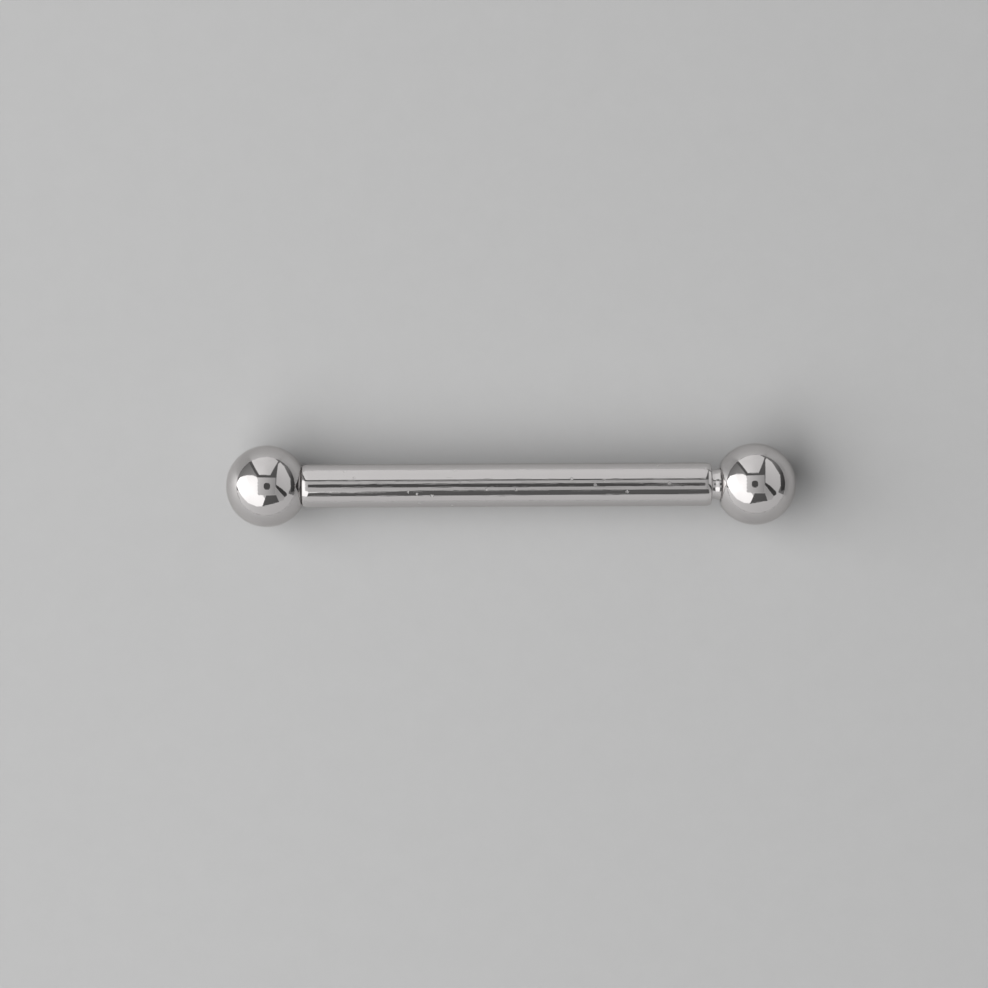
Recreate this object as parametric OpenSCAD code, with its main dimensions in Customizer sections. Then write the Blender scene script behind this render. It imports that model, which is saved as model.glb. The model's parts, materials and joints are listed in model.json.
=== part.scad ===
// Straight barbell: a polished shaft with a threaded stud at each end, and a ball
// screwed on each stud. The left ball is tight against its shoulder, and the right
// one is unscrewed by a little over one turn.
// It lies on the plane z = 0 with the shaft along X. Its box is centred on x = 0.

/* [Shaft] */
// Diameter of the shaft, 14 gauge
shaft_d = 1.6; // [1.4:0.1:2]
// Length of the shaft from shoulder to shoulder
shaft_len = 15; // [6:0.5:30]
// Length of the polished taper before each shoulder
taper_len = 0.2; // [0.1:0.01:0.3]
// How far the taper falls
taper_drop = 0.035; // [0.01:0.005:0.05]
// Radius of the round between the taper and the shoulder's face
shoulder_round = 0.06; // [0.03:0.01:0.12]

/* [Stud] */
// Length of each stud beyond its shoulder
stud_len = 1.8; // [1.4:0.1:1.9]
// Diameter over the crests of the thread
thread_d = 1.15; // [1:0.01:1.18]
// Distance from one crest to the next
thread_pitch = 0.25; // [0.22:0.01:0.3]
// Diameter of the plain neck between the shoulder and the thread
neck_d = 1.06; // [0.95:0.01:1.1]
// Length of the neck
neck_len = 0.13; // [0.05:0.01:0.2]
// Length of the cone that widens the neck to the thread
neck_flare = 0.15; // [0.05:0.01:0.2]
// Plain length at the thread's full diameter, between the cone and the thread
land_len = 0.06; // [0.02:0.01:0.1]
// Chamfer at the tip of each stud
tip_chamfer = 0.08; // [0.02:0.01:0.15]

/* [Balls] */
// Diameter of each ball
ball_d = 3; // [2.9:0.1:6]
// Diameter of the flat seat that meets the shoulder
seat_d = 1.6; // [1.5:0.1:1.8]
// Chamfer at the mouth of the hole
mouth_chamfer = 0.06; // [0.01:0.01:0.08]

/* [Fit] */
// Radial clearance between the thread's crests and the hole
hole_clearance = 0.03; // [0.02:0.01:0.06]
// Depth left in the hole beyond the tip of the stud
hole_spare = 0.2; // [0.1:0.05:0.3]
// Gap between a tight ball's seat and the shoulder
tight_gap = 0.02; // [0.01:0.01:0.05]
// Gap at the right ball, which is unscrewed by a little over one turn
open_gap = 0.34; // [0.02:0.01:0.6]

/* [Hidden] */

// The thread is a 60 degree V with a flat crest and a flat root
crest_w = thread_pitch / 8;
root_w = thread_pitch / 4;
flank_w = (thread_pitch - crest_w - root_w) / 2;
thread_depth = flank_w * tan(60);
root_d = thread_d - 2 * thread_depth;
// Points of the thread in one turn, around the stud and along it
thread_steps = 14;
// The core stays this far inside the thread's root, clear of the flats between its points
core_inset = 0.02;
core_d = root_d - 2 * core_inset;
// The thread begins this far inside the end of the land
thread_overlap = 0.02;

hole_d = thread_d + 2 * hole_clearance;
hole_depth = stud_len + hole_spare;
// Half of the angle of the drill's point
drill_half_angle = 59;
hole_point_h = hole_d / 2 / tan(drill_half_angle);

// From the centre of a ball to the plane of its seat
seat_h = sqrt(pow(ball_d / 2, 2) - pow(seat_d / 2, 2));
// The box is centred on x = 0 when the shaft is shifted by half the difference of the gaps
shaft_x = (tight_gap - open_gap) / 2;
axis_z = ball_d / 2;

steel = [0.8, 0.79, 0.78];
bright_steel = [0.86, 0.85, 0.84];

$fn = 128;

// Radius of the thread at a share of one turn, from 0 at the middle of the crest
function thread_r(share) =
    let (along = min(share, 1 - share) * thread_pitch)
    let (down = max(0, min(1, (along - crest_w / 2) / flank_w)))
    thread_d / 2 - thread_depth * down;

// A right-handed thread, with a cut across it for its outline and a twist for its lead
module thread(length) {
    turns = length / thread_pitch;
    outline = [
        for (step = [0:thread_steps - 1])
            thread_r(step / thread_steps) * [cos(360 * step / thread_steps), sin(360 * step / thread_steps)]
    ];
    slices = round(turns * thread_steps);
    linear_extrude(height = length, twist = -360 * turns, slices = slices, $fn = thread_steps)
        polygon(outline);
}

// The stud stands on z = 0, the plane of the shoulder, and its foot runs into the shaft
module stud() {
    thread_top = stud_len - tip_chamfer;
    land_start = neck_len + neck_flare;
    thread_start = land_start + land_len - thread_overlap;
    translate([0, 0, -shoulder_round]) cylinder(d = neck_d, h = shoulder_round + neck_len);
    translate([0, 0, neck_len]) cylinder(d1 = neck_d, d2 = thread_d, h = neck_flare);
    translate([0, 0, land_start]) cylinder(d = thread_d, h = land_len);
    cylinder(d = core_d, h = thread_top);
    translate([0, 0, thread_top]) cylinder(d1 = core_d, d2 = core_d - 2 * tip_chamfer, h = tip_chamfer);
    translate([0, 0, thread_start]) thread(thread_top - thread_start - tip_chamfer);
}

// Half of the shaft's outline, with its axis on the Y axis
module shaft_outline() {
    straight = shaft_len - 2 * (taper_len + shoulder_round);
    face_r = shaft_d / 2 - taper_drop - shoulder_round;
    hull() {
        translate([0, -straight / 2]) square([shaft_d / 2, straight]);
        translate([0, -shaft_len / 2]) square([face_r, shaft_len]);
        for (end = [-1, 1])
            translate([face_r, end * (shaft_len / 2 - shoulder_round)]) circle(r = shoulder_round);
    }
}

module shaft() {
    color(steel)
    translate([shaft_x, 0, axis_z])
    rotate([0, 90, 0]) {
        rotate_extrude() shaft_outline();
        for (turn = [0, 180])
            rotate([turn, 0, 0]) translate([0, 0, shaft_len / 2]) stud();
    }
}

// A ball centred on the origin, with its flat seat facing -Z
module ball() {
    difference() {
        sphere(d = ball_d);
        translate([0, 0, -seat_h - ball_d]) cylinder(d = 2 * ball_d, h = ball_d);
        translate([0, 0, -seat_h]) ball_hole();
    }
}

// The blind hole, with its mouth on z = 0 and a drill's point at the bottom
module ball_hole() {
    mouth_over = 0.1;
    translate([0, 0, -mouth_over]) cylinder(d = hole_d, h = mouth_over + hole_depth);
    translate([0, 0, hole_depth]) cylinder(d1 = hole_d, d2 = 0, h = hole_point_h);
    translate([0, 0, -mouth_over])
        cylinder(d1 = hole_d + 2 * (mouth_over + mouth_chamfer), d2 = hole_d, h = mouth_over + mouth_chamfer);
}

// A ball on one end of the shaft: end is 1 for the right one and -1 for the left one
module end_ball(end, gap) {
    color(bright_steel)
    translate([shaft_x + end * (shaft_len / 2 + gap + seat_h), 0, axis_z])
    rotate([0, end * 90, 0])
    ball();
}

module left_ball() {
    end_ball(-1, tight_gap);
}

module right_ball() {
    end_ball(1, open_gap);
}

shaft();
left_ball();
right_ball();
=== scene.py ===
import json
import math

import bmesh
import bpy
from mathutils import Matrix, Vector


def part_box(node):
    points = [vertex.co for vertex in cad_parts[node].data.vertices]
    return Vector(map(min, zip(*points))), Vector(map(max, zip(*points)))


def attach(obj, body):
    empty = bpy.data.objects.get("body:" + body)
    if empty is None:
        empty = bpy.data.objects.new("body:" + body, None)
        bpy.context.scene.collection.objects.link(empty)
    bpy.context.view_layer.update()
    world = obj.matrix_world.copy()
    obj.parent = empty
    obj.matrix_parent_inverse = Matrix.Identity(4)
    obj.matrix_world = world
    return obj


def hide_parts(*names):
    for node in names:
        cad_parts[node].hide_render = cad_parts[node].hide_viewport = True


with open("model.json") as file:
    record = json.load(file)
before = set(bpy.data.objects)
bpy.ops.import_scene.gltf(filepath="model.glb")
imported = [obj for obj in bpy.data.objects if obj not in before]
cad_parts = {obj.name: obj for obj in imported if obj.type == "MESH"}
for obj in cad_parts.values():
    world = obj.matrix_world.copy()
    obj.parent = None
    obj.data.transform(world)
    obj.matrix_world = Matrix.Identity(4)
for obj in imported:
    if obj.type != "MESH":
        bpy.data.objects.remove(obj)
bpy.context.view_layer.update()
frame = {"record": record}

# The view. A camera on a copy stand looks straight down at the barbell from a hand's
# breadth above it, a little left of and below its middle, and is turned by a quarter
# of a degree. The metal mirrors its lens as a dark dot.
SHAFT_MOUNT = frame["record"]["mounts"][0]
AXIS_HEIGHT = SHAFT_MOUNT["pos_m"][2]
LENS_ABOVE_AXIS = 0.120
FIELD_WIDTH = 0.03623
SENSOR_WIDTH = 36.0
LENS_PLACE = Vector((-0.000623, -0.000322, AXIS_HEIGHT + LENS_ABOVE_AXIS))
CAMERA_ROLL = math.radians(-0.266)

stand_camera = bpy.data.objects.new("copy_stand_camera", bpy.data.cameras.new("copy_stand_camera"))
stand_camera.data.sensor_width = SENSOR_WIDTH
stand_camera.data.lens = SENSOR_WIDTH * LENS_ABOVE_AXIS / FIELD_WIDTH
stand_camera.data.clip_start = 0.005
stand_camera.data.clip_end = 2.0
stand_camera.location = LENS_PLACE
stand_camera.rotation_euler = (0, 0, CAMERA_ROLL)
bpy.context.scene.collection.objects.link(stand_camera)
bpy.context.scene.camera = stand_camera
bpy.context.scene.view_settings.view_transform = "Standard"


# The tabletop. Smooth, uncoated pale paper that fills the view. Past the lights it
# keeps one pale tone to the horizon, as a backdrop does.
PAPER_TONE = 0.498
PAPER_SHEEN_ROUGHNESS = 0.32
PAPER_IOR = 1.6
MATTE_ROUGHNESS = 0.9
MATTE_IOR = 1.25
CLOUD_SCALE = 900.0
CLOUD_SHARE = 0.025
BACKDROP_TONE = (0.490, 0.490, 0.490)
BACKDROP_STARTS = 0.075
BACKDROP_FULL = 0.150
PAPER_RINGS = (0.02, 0.05, 0.1, 0.2, 0.5, 0.95)
PAPER_SIDES = 96


def wire(tree, kind, feeds=None, **settings):
    """Adds a node to a tree.

    Its feeds are plain values or other nodes' sockets, by input number or name.
    """
    made = tree.nodes.new(kind)
    for name, value in settings.items():
        setattr(made, name, value)
    for key, feed in (feeds or {}).items():
        if isinstance(feed, bpy.types.NodeSocket):
            tree.links.new(feed, made.inputs[key])
        else:
            made.inputs[key].default_value = feed
    return made


def link_object(name, mesh, material):
    """Puts a mesh in the scene with its material."""
    mesh.materials.clear()
    mesh.materials.append(material)
    piece = bpy.data.objects.new(name, mesh)
    bpy.context.scene.collection.objects.link(piece)
    return piece


def new_material(name):
    """An empty node material, its tree and its output node."""
    material = bpy.data.materials.new(name)
    material.use_nodes = True
    material.node_tree.nodes.clear()
    return material, material.node_tree, wire(material.node_tree, "ShaderNodeOutputMaterial")


def paper_disc():
    """Rings of faces about the origin, closed in the middle."""
    bm = bmesh.new()
    middle = bm.verts.new((0, 0, 0))
    turns = [math.tau * s / PAPER_SIDES for s in range(PAPER_SIDES)]
    rings = [
        [bm.verts.new((size * math.cos(turn), size * math.sin(turn), 0)) for turn in turns]
        for size in PAPER_RINGS
    ]
    for s in range(PAPER_SIDES):
        after = (s + 1) % PAPER_SIDES
        bm.faces.new((middle, rings[0][s], rings[0][after]))
        for inner, outer in zip(rings, rings[1:]):
            bm.faces.new((inner[s], outer[s], outer[after], inner[after]))
    mesh = bpy.data.meshes.new("tabletop_paper")
    bm.to_mesh(mesh)
    bm.free()
    return mesh


def pale_paper():
    material, tree, output = new_material("pale paper")
    place = wire(tree, "ShaderNodeTexCoord").outputs["Object"]
    cloudy = wire(
        tree, "ShaderNodeTexNoise",
        {"Vector": place, "Scale": CLOUD_SCALE, "Detail": 3.0, "Roughness": 0.7},
    )
    palest, darkest = PAPER_TONE * (1 + CLOUD_SHARE), PAPER_TONE * (1 - CLOUD_SHARE)
    tone = wire(
        tree, "ShaderNodeMapRange",
        {"Value": cloudy.outputs["Fac"], "To Min": darkest, "To Max": palest},
    )
    paper = wire(
        tree, "ShaderNodeBsdfPrincipled",
        {"Base Color": tone.outputs[0], "Roughness": PAPER_SHEEN_ROUGHNESS, "IOR": PAPER_IOR},
    )
    # The metal mirrors the paper's sheen, and seen directly the paper is matte
    matte = wire(
        tree, "ShaderNodeBsdfPrincipled",
        {"Base Color": tone.outputs[0], "Roughness": MATTE_ROUGHNESS, "IOR": MATTE_IOR},
    )
    ray = wire(tree, "ShaderNodeLightPath")
    seen = wire(
        tree, "ShaderNodeMixShader",
        {0: ray.outputs["Is Camera Ray"], 1: paper.outputs[0], 2: matte.outputs[0]},
    )
    backdrop = wire(tree, "ShaderNodeEmission", {"Color": (*BACKDROP_TONE, 1)})
    away = wire(tree, "ShaderNodeVectorMath", {0: place}, operation="LENGTH")
    share = wire(
        tree, "ShaderNodeMapRange",
        {"Value": away.outputs["Value"], "From Min": BACKDROP_STARTS, "From Max": BACKDROP_FULL},
        interpolation_type="SMOOTHSTEP",
    )
    both = wire(
        tree, "ShaderNodeMixShader",
        {0: share.outputs[0], 1: seen.outputs[0], 2: backdrop.outputs[0]},
    )
    tree.links.new(both.outputs[0], output.inputs["Surface"])
    return material


link_object("tabletop_paper", paper_disc(), pale_paper())


# The lights. Flat softboxes and white cards stand in a dome over the table. Each is
# placed by where its reflection shows on the face of a ball, in radii from the ball's
# middle, because a polished ball shows the whole dome.
DOME_REACH = 0.175
DARK_ROOM = 0.20
DARK_ROOM_ON_PAPER = 0.05
CARD_CUTS = 5
SPILL_REACH = 4.0
SPILL_CUTS = 2
CARDS = {
    # name: (reach, share of its light that falls on the paper, its corners)
    # A corner is its place across, its place up and the brightness there
    "front_wall": (
        1.04, 0.0,
        [(-0.706, -0.090, 1.08), (-0.617, -0.356, 0.92), (-0.503, -0.503, 0.84),
         (-0.356, -0.617, 0.78), (-0.124, -0.701, 0.72), (0.124, -0.701, 0.67),
         (0.356, -0.617, 0.65), (0.545, -0.458, 0.65), (0.669, -0.244, 0.64),
         (0.560, -0.200, 0.66), (0.235, -0.030, 0.64), (-0.200, -0.150, 0.72)],
    ),
    "left_wall": (
        1.04, 0.0,
        [(-0.700, 0.110, 0.33), (-0.610, 0.367, 0.22), (-0.430, 0.567, 0.20),
         (-0.210, 0.230, 0.44), (-0.270, 0.150, 0.55), (-0.660, 0.040, 0.44)],
    ),
    "top_softbox_rim": (
        1.02, 0.0,
        [(-0.440, 0.550, 0.13), (-0.215, 0.214, 0.13), (0.244, 0.214, 0.13), (0.262, 0.420, 0.14),
         (0.285, 0.590, 0.15), (0.150, 0.686, 0.15), (-0.350, 0.606, 0.13)],
    ),
    "top_softbox": (
        1.0, 0.15,
        [(-0.390, 0.590, 1.00), (-0.200, 0.682, 1.00), (-0.020, 0.710, 0.92),
         (0.150, 0.694, 0.80), (0.256, 0.618, 0.80), (0.085, 0.268, 0.80), (-0.178, 0.268, 1.06)],
    ),
    "key_softbox": (
        1.0, 1.95,
        [(-0.713, 0.030, 2.20), (-0.680, 0.125, 2.60), (-0.620, 0.203, 2.40),
         (-0.470, 0.254, 1.58), (-0.310, 0.250, 1.58), (-0.225, 0.205, 1.58),
         (-0.194, 0.125, 1.58), (-0.187, -0.180, 1.58), (-0.085, -0.228, 1.58),
         (-0.044, -0.300, 1.58), (-0.056, -0.397, 1.58), (-0.130, -0.470, 1.58),
         (-0.262, -0.470, 1.58), (-0.452, -0.380, 1.58), (-0.580, -0.235, 1.80),
         (-0.655, -0.100, 2.20)],
    ),
    "camera_card": (
        1.0, 1.0,
        [(-0.215, 0.207, 0.86), (0.217, 0.207, 0.44), (0.217, -0.210, 0.41),
         (-0.215, -0.210, 0.80)],
    ),
    "right_softbox": (
        1.0, 0.6,
        [(0.240, 0.235, 0.72), (0.262, 0.560, 0.88), (0.305, 0.600, 0.88), (0.475, 0.445, 0.84),
         (0.585, 0.265, 0.77), (0.630, 0.060, 0.70), (0.510, -0.249, 0.64), (0.495, -0.183, 0.64),
         (0.234, 0.029, 0.66)],
    ),
    "right_flag": (
        0.99, 0.0,
        [(0.400, 0.550, 0.30), (0.540, 0.438, 0.20), (0.652, 0.244, 0.06), (0.695, 0.030, 0.04),
         (0.685, -0.134, 0.04), (0.600, -0.161, 0.06), (0.645, -0.100, 0.04),
         (0.657, 0.060, 0.04), (0.628, 0.245, 0.06), (0.523, 0.430, 0.20), (0.391, 0.542, 0.30)],
    ),
    "stand_plate": (
        0.99, 0.0,
        [(0.222, -0.040, 0.44), (0.440, -0.276, 0.50), (0.400, -0.360, 0.57),
         (0.298, -0.380, 0.53), (0.227, -0.218, 0.46)],
    ),
    "stand_arm": (
        0.98, 0.0,
        [(0.232, 0.035, 0.06), (0.350, -0.045, 0.06), (0.485, -0.173, 0.06),
         (0.502, -0.232, 0.07), (0.439, -0.280, 0.07), (0.335, -0.160, 0.06),
         (0.234, -0.040, 0.06)],
    ),
    "stand_base": (
        0.98, 0.0,
        [(-0.017, -0.224, 0.15), (0.227, -0.218, 0.13), (0.298, -0.395, 0.11),
         (-0.118, -0.480, 0.14)],
    ),
}


def place_on_dome(across, up, reach):
    """The place that a ball on the table mirrors to the camera at this place on its face."""
    facing = math.sqrt(max(0, 1 - across**2 - up**2))
    return DOME_REACH * reach * Vector((2 * facing * across, 2 * facing * up, 2 * facing**2 - 1))


def glowing_card():
    """A surface that gives light by the brightness stored at its points."""
    material, tree, output = new_material("lit card")
    brightness = wire(tree, "ShaderNodeAttribute", attribute_name="brightness")
    glow = wire(tree, "ShaderNodeEmission", {"Strength": brightness.outputs["Fac"]})
    tree.links.new(glow.outputs[0], output.inputs["Surface"])
    return material


LIT_CARD = glowing_card()


def unseen_card(name, corners, put, cuts=CARD_CUTS):
    """A card that lights the metal and the paper, and that the camera looks through.

    It is a fan about its middle, cut fine enough to follow the dome. put gives the place in
    the scene of a place across and up.
    """
    middle = sum((Vector(corner) for corner in corners), Vector()) / len(corners)
    places, faces, levels = [], [], []
    for one, two in zip(corners, corners[1:] + corners[:1]):
        number = {}
        for i in range(cuts + 1):
            for j in range(cuts + 1 - i):
                share = Vector(one) * i + Vector(two) * j + middle * (cuts - i - j)
                across, up, level = share / cuts
                number[i, j] = len(places)
                places.append(tuple(put(across, up)))
                levels.append(level)
        for i, j in number:
            if i + j < cuts:
                faces.append((number[i, j], number[i + 1, j], number[i, j + 1]))
            if i + j < cuts - 1:
                faces.append((number[i + 1, j], number[i + 1, j + 1], number[i, j + 1]))
    mesh = bpy.data.meshes.new(name)
    mesh.from_pydata(places, [], faces)
    mesh.attributes.new("brightness", "FLOAT", "POINT").data.foreach_set("value", levels)
    card = link_object(name, mesh, LIT_CARD)
    card.visible_camera = False
    return card


for name, (reach, share, outline) in CARDS.items():
    card = unseen_card(name, outline, lambda across, up: place_on_dome(across, up, reach))
    card.visible_shadow = False
    card.visible_diffuse = share == 1
    if share not in (0, 1):
        spill = unseen_card(
            name + "_spill",
            [(across, up, level * share) for across, up, level in outline],
            lambda across, up: place_on_dome(across, up, SPILL_REACH),
            SPILL_CUTS,
        )
        spill.visible_glossy = False
        spill.visible_shadow = False

world = bpy.data.worlds.new("studio")
bpy.context.scene.world = world
world.use_nodes = True
world.node_tree.nodes.clear()
ray = wire(world.node_tree, "ShaderNodeLightPath")
pale = wire(world.node_tree, "ShaderNodeBackground", {"Color": (*BACKDROP_TONE, 1)})
dim = wire(
    world.node_tree, "ShaderNodeMapRange",
    {"Value": ray.outputs["Is Diffuse Ray"], "To Min": DARK_ROOM, "To Max": DARK_ROOM_ON_PAPER},
)
dark = wire(
    world.node_tree, "ShaderNodeBackground", {"Color": (1, 1, 1, 1), "Strength": dim.outputs[0]},
)
room = wire(
    world.node_tree, "ShaderNodeMixShader",
    {0: ray.outputs["Is Camera Ray"], 1: dark.outputs[0], 2: pale.outputs[0]},
)
wire(world.node_tree, "ShaderNodeOutputWorld", {"Surface": room.outputs[0]})

# The front of the lens. It is squarer than a circle, and the dark line that the shaft
# mirrors keeps most of its width to the ends.
LENS_HALF_WIDTH = 0.0190
LENS_HALF_HEIGHT = 0.0200
LENS_SQUARENESS = 0.75
LENS_POINTS = 32
LENS_BRIGHTNESS = 0.10


def lens_edge(turn):
    """The place across and up of a point on the lens's edge, in halves of its width and height."""
    sides = (math.cos(turn), math.sin(turn))
    return [math.copysign(abs(side) ** LENS_SQUARENESS, side) for side in sides]


lens_front = unseen_card(
    "lens_front",
    [(*lens_edge(math.tau * s / LENS_POINTS), LENS_BRIGHTNESS) for s in range(LENS_POINTS)],
    lambda across, up: LENS_PLACE + Vector((LENS_HALF_WIDTH * across, LENS_HALF_HEIGHT * up, 0)),
)
lens_front.visible_diffuse = False
lens_front.visible_shadow = False


# The shaft. One bar of surgical steel, turned and mirror-polished, with rounded
# shoulders and a stud with a rolled right-hand thread at each end.
MM = 0.001
SHAFT_RADIUS = SHAFT_MOUNT["dims"]["r_mm"] * MM
SHAFT_MIDDLE = SHAFT_MOUNT["pos_m"][0]
STUD_LENGTH = 1.8 * MM
SHAFT_HALF = (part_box("shaft")[1].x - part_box("shaft")[0].x) / 2 - STUD_LENGTH
TAPER_RADIUS = 0.65 * MM
TAPER_TILT = math.radians(20)
TAPER_STEPS = 8
SHOULDER_ROUND = 0.06 * MM
SHOULDER_STEPS = 10
NECK_RADIUS = 0.53 * MM
NECK_LENGTH = 0.13 * MM
NECK_FILLET = 0.03 * MM
NECK_FILLET_STEPS = 5
NECK_FLARE = 0.15 * MM
FLARE_ROUND = 0.2 * MM
FLARE_STEPS = 4
CREST_RADIUS = 0.575 * MM
THREAD_PITCH = 0.25 * MM
THREAD_DEPTH = 0.135 * MM
THREAD_STARTS = 0.34 * MM
THREAD_FADE = 0.05 * MM
# Shares of the pitch: half of the crest's flat, and one flank
HALF_CREST = 1 / 16
FLANK = 5 / 16
TIP_ROOT_RADIUS = 0.42 * MM
TIP_RADIUS = 0.34 * MM
TIP_CHAMFER = 0.08 * MM
# Rows of points along the straight half, and rows close to a round, a taper or an edge that
# keep its shading off the flat beside it
STRAIGHT_ROWS = (0, 0.25, 0.5, 0.75, 0.9, 0.96)
ROW_BEFORE_TAPER = 0.02 * MM
ROW_INSIDE_ROUND = 0.01 * MM
TIP_ROW_SHARE = 0.9
STEPS_AROUND = 96
ROWS_PER_PITCH = 16
SMOOTH_BELOW = math.radians(34)
WELD = 0.0000004


def sum_of(tree, operation, *values):
    """A sum in a tree, as the socket of its result."""
    return wire(tree, "ShaderNodeMath", dict(enumerate(values)), operation=operation).outputs[0]


def new_tree(name, inputs):
    """A tree with named inputs, its input node and the identifiers of the inputs."""
    tree = bpy.data.node_groups.new(name, "GeometryNodeTree")
    names = {}
    sockets = [("Geometry", "NodeSocketGeometry"), *inputs, ("Finish", "NodeSocketMaterial")]
    for label, kind in sockets:
        names[label] = tree.interface.new_socket(label, in_out="INPUT", socket_type=kind).identifier
    tree.interface.new_socket("Geometry", in_out="OUTPUT", socket_type="NodeSocketGeometry")
    return tree, wire(tree, "NodeGroupInput").outputs, names


def close_tree(tree, grid, position, finish):
    """Moves the grid's points to their places and welds, realizes and finishes the result."""
    placed = wire(tree, "GeometryNodeSetPosition", {"Geometry": grid, "Position": position})
    welded = wire(
        tree, "GeometryNodeMergeByDistance", {"Geometry": placed.outputs[0], "Distance": WELD},
    )
    solid = wire(tree, "GeometryNodeRealizeInstances", {"Geometry": welded.outputs[0]})
    finished = wire(
        tree, "GeometryNodeSetMaterial", {"Geometry": solid.outputs[0], "Material": finish},
    )
    wire(tree, "NodeGroupOutput", {"Geometry": finished.outputs[0]})


def around_axis(tree, along, radius, turn):
    """A place at this distance along X, this far from the axis, at this share of a turn."""
    angle = sum_of(tree, "MULTIPLY", turn, math.tau)
    sideways = sum_of(tree, "MULTIPLY", radius, sum_of(tree, "COSINE", angle))
    upwards = sum_of(tree, "MULTIPLY", radius, sum_of(tree, "SINE", angle))
    return wire(tree, "ShaderNodeCombineXYZ", {0: along, 1: sideways, 2: upwards}).outputs[0]


def grid_rows(tree, steps, rows):
    """A grid of rows along the axis, and each point's row and turn.

    It has one column for each step around the axis and one more to close it.
    """
    columns = sum_of(tree, "ADD", steps, 1)
    grid = wire(tree, "GeometryNodeMeshGrid", {"Vertices X": columns, "Vertices Y": rows})
    index = wire(tree, "GeometryNodeInputIndex").outputs[0]
    column = sum_of(tree, "FLOOR", sum_of(tree, "DIVIDE", sum_of(tree, "ADD", index, 0.5), rows))
    row = sum_of(tree, "SUBTRACT", index, sum_of(tree, "MULTIPLY", column, rows))
    return grid.outputs["Mesh"], row, sum_of(tree, "DIVIDE", column, steps)


def lathe_tree():
    """Turns a chain of points about X.

    X of a point is its place along the axis and Y is its radius.
    """
    tree, given, names = new_tree(
        "turned on a lathe", [("Points", "NodeSocketInt"), ("Steps around", "NodeSocketInt")],
    )
    grid, row, turn = grid_rows(tree, given["Steps around"], given["Points"])
    point = wire(
        tree, "GeometryNodeSampleIndex",
        {"Geometry": given["Geometry"], "Index": row}, data_type="FLOAT_VECTOR", domain="POINT",
    )
    tree.links.new(wire(tree, "GeometryNodeInputPosition").outputs[0], point.inputs["Value"])
    outline = wire(tree, "ShaderNodeSeparateXYZ", {0: point.outputs["Value"]}).outputs
    close_tree(tree, grid, around_axis(tree, outline[0], outline[1], turn), given["Finish"])
    return tree, names


def thread_tree():
    """Cuts a right-hand V thread along X, from a plain radius at its start to one at its end."""
    sizes = [
        "Start", "Length", "Pitch", "Crest radius", "Depth", "Start radius", "End radius", "Fade",
    ]
    counts = ["Rows", "Rows per pitch", "Steps around"]
    tree, given, names = new_tree(
        "cut with a die",
        [(size, "NodeSocketFloat") for size in sizes]
        + [(count, "NodeSocketInt") for count in counts],
    )
    grid, row, turn = grid_rows(tree, given["Steps around"], given["Rows"])
    turns = sum_of(tree, "DIVIDE", row, given["Rows per pitch"])
    climb = sum_of(tree, "SUBTRACT", sum_of(tree, "ADD", turns, turn), 1)
    along = sum_of(tree, "MULTIPLY", climb, given["Pitch"])
    along = sum_of(tree, "MINIMUM", sum_of(tree, "MAXIMUM", along, 0), given["Length"])
    from_crest = sum_of(tree, "PINGPONG", turns, 0.5)
    down = sum_of(tree, "DIVIDE", sum_of(tree, "SUBTRACT", from_crest, HALF_CREST), FLANK)
    down = sum_of(tree, "MINIMUM", sum_of(tree, "MAXIMUM", down, 0), 1)
    lowered = sum_of(tree, "MULTIPLY", down, given["Depth"])
    cut = sum_of(tree, "SUBTRACT", given["Crest radius"], lowered)
    to_end = sum_of(tree, "SUBTRACT", given["Length"], along)
    for end, gap in [("Start radius", along), ("End radius", to_end)]:
        share = sum_of(tree, "MINIMUM", sum_of(tree, "DIVIDE", gap, given["Fade"]), 1)
        more = sum_of(tree, "MULTIPLY", sum_of(tree, "SUBTRACT", cut, given[end]), share)
        cut = sum_of(tree, "ADD", given[end], more)
    place = sum_of(tree, "ADD", given["Start"], along)
    close_tree(tree, grid, around_axis(tree, place, cut, turn), given["Finish"])
    return tree, names


LATHE, LATHE_NAMES = lathe_tree()
DIE, DIE_NAMES = thread_tree()


def made_by(tree, names, chain, sizes, finish):
    """Runs a tree on a chain of points and returns the plain mesh that it makes."""
    blank = bpy.data.meshes.new("blank")
    places = [(along, radius, 0) for along, radius in chain]
    blank.from_pydata(places, [(i, i + 1) for i in range(len(chain) - 1)], [])
    work = bpy.data.objects.new("work", blank)
    bpy.context.scene.collection.objects.link(work)
    tool = work.modifiers.new("tool", "NODES")
    tool.node_group = tree
    for label, value in {**sizes, "Finish": finish}.items():
        tool[names[label]] = value
    bpy.context.view_layer.update()
    worked = work.evaluated_get(bpy.context.evaluated_depsgraph_get())
    mesh = bpy.data.meshes.new_from_object(worked)
    work.modifiers.remove(tool)
    bpy.data.objects.remove(work)
    return mesh


def turned(chain, finish):
    """An outline turned on the lathe."""
    sizes = {"Points": len(chain), "Steps around": STEPS_AROUND}
    return made_by(LATHE, LATHE_NAMES, chain, sizes, finish)


def threaded(start, length, crest, depth, start_radius, end_radius, finish):
    """A length of thread cut with the die. It starts and ends at plain radii."""
    rows = math.ceil((length / THREAD_PITCH + 1) * ROWS_PER_PITCH) + 1
    sizes = {
        "Start": start, "Length": length, "Pitch": THREAD_PITCH, "Crest radius": crest,
        "Depth": depth, "Start radius": start_radius, "End radius": end_radius, "Fade": THREAD_FADE,
        "Rows": rows, "Rows per pitch": ROWS_PER_PITCH, "Steps around": STEPS_AROUND,
    }
    return made_by(DIE, DIE_NAMES, [(0, 0), (length, 0)], sizes, finish)


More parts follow.
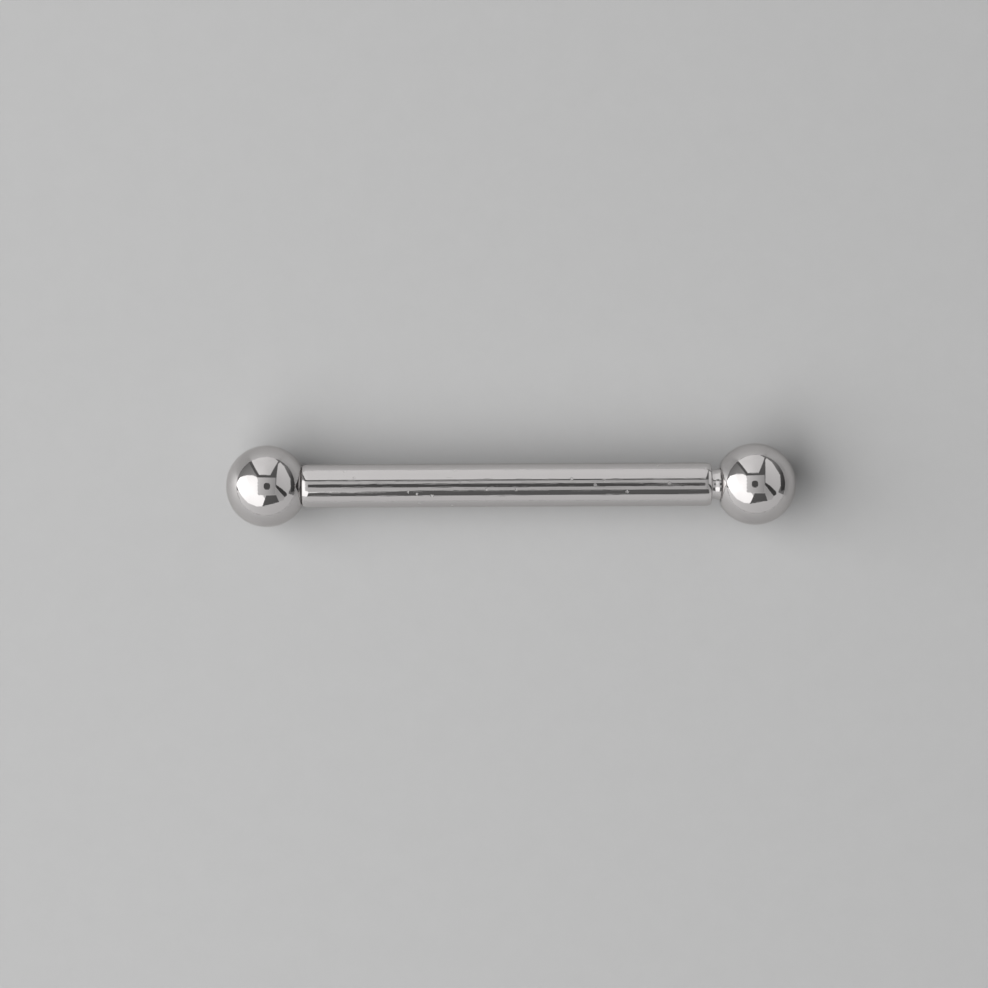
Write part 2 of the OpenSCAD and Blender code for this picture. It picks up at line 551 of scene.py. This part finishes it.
def eased(before, corner, after, size, steps):
    """Points of a round of this radius in a right-angled or open corner of an outline."""
    before, corner, after = Vector(before), Vector(corner), Vector(after)
    one, two = (before - corner).normalized(), (after - corner).normalized()
    half = one.angle(two) / 2
    middle = corner + (one + two).normalized() * size / math.sin(half)
    first, last = corner + one * size / math.tan(half), corner + two * size / math.tan(half)
    sweep = math.pi - 2 * half
    sign = 1 if (first - middle).cross(last - middle) > 0 else -1
    turns = [Matrix.Rotation(sign * sweep * i / steps, 2) for i in range(steps + 1)]
    return [tuple(middle + turn @ (first - middle)) for turn in turns]


def joined(name, parts, finish, place):
    """Welds meshes to one closed skin, each turned by its own matrix, and puts it in its place.

    It is shaded smooth, and its sharp edges are kept.
    """
    bm = bmesh.new()
    for mesh, turn in parts:
        mesh.transform(turn)
        bm.from_mesh(mesh)
        bpy.data.meshes.remove(mesh)
    bmesh.ops.remove_doubles(bm, verts=bm.verts, dist=WELD)
    bmesh.ops.recalc_face_normals(bm, faces=bm.faces)
    for face in bm.faces:
        face.smooth = True
    for edge in bm.edges:
        edge.smooth = len(edge.link_faces) != 2 or edge.calc_face_angle(0) < SMOOTH_BELOW
    bm.transform(place)
    skin = bpy.data.meshes.new(name)
    bm.to_mesh(skin)
    bm.free()
    return link_object(name, skin, finish)


def arc_points(middle, radius, first, last, steps):
    """Points of an arc in an outline, from one tilt to another.

    A tilt of 0 points away from the axis.
    """
    tilts = [first + (last - first) * i / steps for i in range(steps + 1)]
    return [
        (middle[0] + radius * math.sin(tilt), middle[1] + radius * math.cos(tilt)) for tilt in tilts
    ]


def shaft_outline():
    """Half of the shaft from its middle to the start of the right stud's thread."""
    inward = (TAPER_RADIUS - SHOULDER_ROUND) * math.cos(TAPER_TILT)
    round_middle = (SHAFT_HALF - SHOULDER_ROUND, SHAFT_RADIUS - TAPER_RADIUS + inward)
    taper_start = round_middle[0] - (TAPER_RADIUS - SHOULDER_ROUND) * math.sin(TAPER_TILT)
    taper_middle = (taper_start, SHAFT_RADIUS - TAPER_RADIUS)
    taper = arc_points(taper_middle, TAPER_RADIUS, 0, TAPER_TILT, TAPER_STEPS)
    shoulder = arc_points(round_middle, SHOULDER_ROUND, TAPER_TILT, math.pi / 2, SHOULDER_STEPS)
    face_edge = shoulder[-1]
    foot = (SHAFT_HALF, NECK_RADIUS)
    flare = (SHAFT_HALF + NECK_LENGTH, NECK_RADIUS)
    land = (SHAFT_HALF + NECK_LENGTH + NECK_FLARE, CREST_RADIUS)
    thread = (SHAFT_HALF + THREAD_STARTS, CREST_RADIUS)
    rows = [(SHAFT_HALF * share, SHAFT_RADIUS) for share in STRAIGHT_ROWS]
    rows += [(taper_start - ROW_BEFORE_TAPER, SHAFT_RADIUS)] + taper + shoulder[1:]
    rows += [(SHAFT_HALF, face_edge[1] - ROW_INSIDE_ROUND)]
    rows += eased(face_edge, foot, flare, NECK_FILLET, NECK_FILLET_STEPS)
    rows += eased(foot, flare, land, FLARE_ROUND, FLARE_STEPS)
    return rows + eased(flare, land, thread, FLARE_ROUND, FLARE_STEPS) + [thread]


def stud_tip():
    """The chamfer and the flat end of the right stud, past its thread."""
    tip = SHAFT_HALF + STUD_LENGTH
    return [
        (tip - TIP_CHAMFER, TIP_ROOT_RADIUS), (tip, TIP_RADIUS), (tip, TIP_RADIUS * TIP_ROW_SHARE),
        (tip, 0),
    ]


# The steel's finish. Its depths and reaches are in metres
WANDER_SCALE = 1000.0
SCRATCH_STRETCH = (900, 24000, 24000)
SCRATCH_TURNS = ((0.3, 0.2, 0.9), (1.1, 0.7, -0.5), (-0.4, 1.3, 0.4))
SCRATCH_EDGES = (0.63, 0.72)
NICK_CELLS = 2500.0
NICK_EDGES = (0.06, 0.18)
NICK_DEPTH = 0.0000030
NICK_ROUGHNESS = 0.25
RAGGED_SCALE = 26000.0
RAGGED_REACH = 0.00010
HAZE_SCALE = 900.0
HAZE_ROUGHNESS = (0.02, 0.07)
STEEL_TONES = ((0.575, 0.557, 0.553, 1), (0.600, 0.582, 0.578, 1))
STEEL_EDGE_TINT = (0.84, 0.83, 0.82, 1)


def pressed(tree, height, depth, relief, strength=1.0):
    """A relief with this height pressed into it."""
    feeds = {"Height": height, "Strength": strength, "Distance": depth, "Normal": relief}
    return wire(tree, "ShaderNodeBump", feeds, invert=True).outputs[0]


def polished_steel(name, wave, hairline, nicks):
    """Mirror-polished steel: a faint wander of the surface, hairline scratches and small nicks.

    wave and hairline are the depths of the wander and the scratches, and nicks is the share
    of the cells that have one.
    """
    material, tree, output = new_material(name)
    place = wire(tree, "ShaderNodeTexCoord").outputs["Object"]
    waves = wire(
        tree, "ShaderNodeTexNoise", {"Vector": place, "Scale": WANDER_SCALE, "Detail": 1.0},
    )
    swell = wire(
        tree, "ShaderNodeBump",
        {"Height": waves.outputs["Fac"], "Strength": 1.0, "Distance": wave},
    )
    relief = swell.outputs[0]
    for turn in SCRATCH_TURNS:
        drawn = wire(
            tree, "ShaderNodeMapping",
            {"Vector": place, "Rotation": turn, "Scale": SCRATCH_STRETCH},
        )
        hair = wire(
            tree, "ShaderNodeTexNoise", {"Vector": drawn.outputs[0], "Scale": 1.0, "Detail": 0.0},
        )
        groove = wire(
            tree, "ShaderNodeMapRange",
            {
                "Value": hair.outputs["Fac"],
                "From Min": SCRATCH_EDGES[0], "From Max": SCRATCH_EDGES[1],
            },
        )
        relief = pressed(tree, groove.outputs[0], hairline, relief, strength=0.5)
    ragged = wire(
        tree, "ShaderNodeTexNoise", {"Vector": place, "Scale": RAGGED_SCALE, "Detail": 1.0},
    )
    torn = wire(
        tree, "ShaderNodeVectorMath",
        {0: ragged.outputs["Color"], 1: (RAGGED_REACH,) * 3, 2: place}, operation="MULTIPLY_ADD",
    )
    cells = wire(
        tree, "ShaderNodeTexVoronoi", {"Vector": torn.outputs["Vector"], "Scale": NICK_CELLS},
    )
    chosen = wire(tree, "ShaderNodeSeparateColor", {"Color": cells.outputs["Color"]})
    few = sum_of(tree, "GREATER_THAN", chosen.outputs[0], 1 - nicks)
    near = wire(
        tree, "ShaderNodeMapRange",
        {
            "Value": cells.outputs["Distance"],
            "From Min": NICK_EDGES[0], "From Max": NICK_EDGES[1], "To Min": 1.0, "To Max": 0.0,
        },
        interpolation_type="SMOOTHSTEP",
    )
    nick = sum_of(tree, "MULTIPLY", near.outputs[0], few)
    relief = pressed(tree, nick, NICK_DEPTH, relief)
    haze = wire(
        tree, "ShaderNodeTexNoise", {"Vector": place, "Scale": HAZE_SCALE, "Detail": 4.0},
    )
    rough = wire(
        tree, "ShaderNodeMapRange",
        {
            "Value": haze.outputs["Fac"],
            "To Min": HAZE_ROUGHNESS[0], "To Max": HAZE_ROUGHNESS[1],
        },
    )
    torn_rough = sum_of(tree, "MULTIPLY", nick, NICK_ROUGHNESS)
    roughened = sum_of(tree, "ADD", rough.outputs[0], torn_rough)
    tint = wire(tree, "ShaderNodeMix", {"Factor": haze.outputs["Fac"]}, data_type="RGBA")
    tint.inputs[6].default_value, tint.inputs[7].default_value = STEEL_TONES
    steel = wire(
        tree, "ShaderNodeBsdfPrincipled",
        {
            "Base Color": tint.outputs[2], "Metallic": 1.0, "Roughness": roughened,
            "Specular Tint": STEEL_EDGE_TINT, "Normal": relief,
        },
    )
    tree.links.new(steel.outputs[0], output.inputs["Surface"])
    return material


SHAFT_STEEL = polished_steel(
    "polished shaft steel", wave=0.0000045, hairline=0.0000008, nicks=0.50,
)
TURN_ROUND = Matrix.Rotation(math.pi, 4, "Z")
STILL = Matrix.Identity(4)
shaft_parts = []
for turn in (STILL, TURN_ROUND):
    shaft_parts.append((turned(shaft_outline(), SHAFT_STEEL), turn))
    stud_thread = threaded(
        SHAFT_HALF + THREAD_STARTS, STUD_LENGTH - TIP_CHAMFER - THREAD_STARTS,
        CREST_RADIUS, THREAD_DEPTH, CREST_RADIUS, TIP_ROOT_RADIUS, SHAFT_STEEL,
    )
    shaft_parts.append((stud_thread, turn))
    shaft_parts.append((turned(stud_tip(), SHAFT_STEEL), turn))
threaded_shaft = joined(
    "threaded_shaft", shaft_parts, SHAFT_STEEL,
    Matrix.Translation((SHAFT_MIDDLE, 0, AXIS_HEIGHT)),
)
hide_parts("shaft")
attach(threaded_shaft, "shaft")


# The balls. Each is steel, polished all round after its seat was faced flat and its
# blind hole drilled and tapped. The left one is screwed home on its stud and the
# right one is a little over a turn short of it.
BALL_RADIUS = 1.5 * MM
SEAT_RADIUS = 0.8 * MM
SEAT_FROM_MIDDLE = math.sqrt(BALL_RADIUS**2 - SEAT_RADIUS**2)
SEAT_EDGE_ROUND = 0.02 * MM
SEAT_EDGE_STEPS = 5
ROW_INSIDE_SEAT = 0.05 * MM
HOLE_RADIUS = 0.605 * MM
HOLE_DEPTH = 2.0 * MM
TAP_DEPTH = 0.055 * MM
TAPPED_LENGTH = 1.85 * MM
MOUTH_CHAMFER = 0.06 * MM
DRILL_HALF_ANGLE = math.radians(59)
DRILL_POINT = HOLE_RADIUS / math.tan(DRILL_HALF_ANGLE)
BALL_ROWS = 64


def ball_outline():
    """A ball about the origin, from its far pole to the mouth of its hole in the left seat."""
    seat = -SEAT_FROM_MIDDLE
    edge = math.pi - math.atan2(SEAT_RADIUS, SEAT_FROM_MIDDLE)
    turns = [edge * i / BALL_ROWS for i in range(BALL_ROWS + 1)]
    arc = [(BALL_RADIUS * math.cos(turn), BALL_RADIUS * math.sin(turn)) for turn in turns]
    rounded = eased(arc[-2], (seat, SEAT_RADIUS), (seat, 0), SEAT_EDGE_ROUND, SEAT_EDGE_STEPS)
    return arc[:-1] + rounded + [
        (seat, SEAT_RADIUS - ROW_INSIDE_SEAT), (seat, HOLE_RADIUS + MOUTH_CHAMFER),
        (seat + MOUTH_CHAMFER, HOLE_RADIUS),
    ]


def hole_bottom():
    """The plain bottom of the hole with the cone that the drill leaves."""
    end = HOLE_DEPTH - SEAT_FROM_MIDDLE
    start = MOUTH_CHAMFER + TAPPED_LENGTH - SEAT_FROM_MIDDLE
    return [(start, HOLE_RADIUS), (end, HOLE_RADIUS), (end + DRILL_POINT, 0)]


BALL_STEEL = polished_steel("polished ball steel", wave=0.0000008, hairline=0.0000002, nicks=0.02)
SIDES = (
    # Its name, its way out along X, how it is turned and where the plane of its seat is
    ("left", -1, TURN_ROUND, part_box("left_ball")[1].x),
    ("right", 1, STILL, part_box("right_ball")[0].x),
)
for side, outward, turn, seat_plane in SIDES:
    tapped = threaded(
        MOUTH_CHAMFER - SEAT_FROM_MIDDLE, TAPPED_LENGTH,
        HOLE_RADIUS + TAP_DEPTH, TAP_DEPTH, HOLE_RADIUS, HOLE_RADIUS, BALL_STEEL,
    )
    skins = (turned(ball_outline(), BALL_STEEL), tapped, turned(hole_bottom(), BALL_STEEL))
    ball = joined(
        side + "_screw_ball",
        [(skin, turn) for skin in skins],
        BALL_STEEL,
        Matrix.Translation((seat_plane + outward * SEAT_FROM_MIDDLE, 0, AXIS_HEIGHT)),
    )
    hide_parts(side + "_ball")
    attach(ball, side + "_ball")
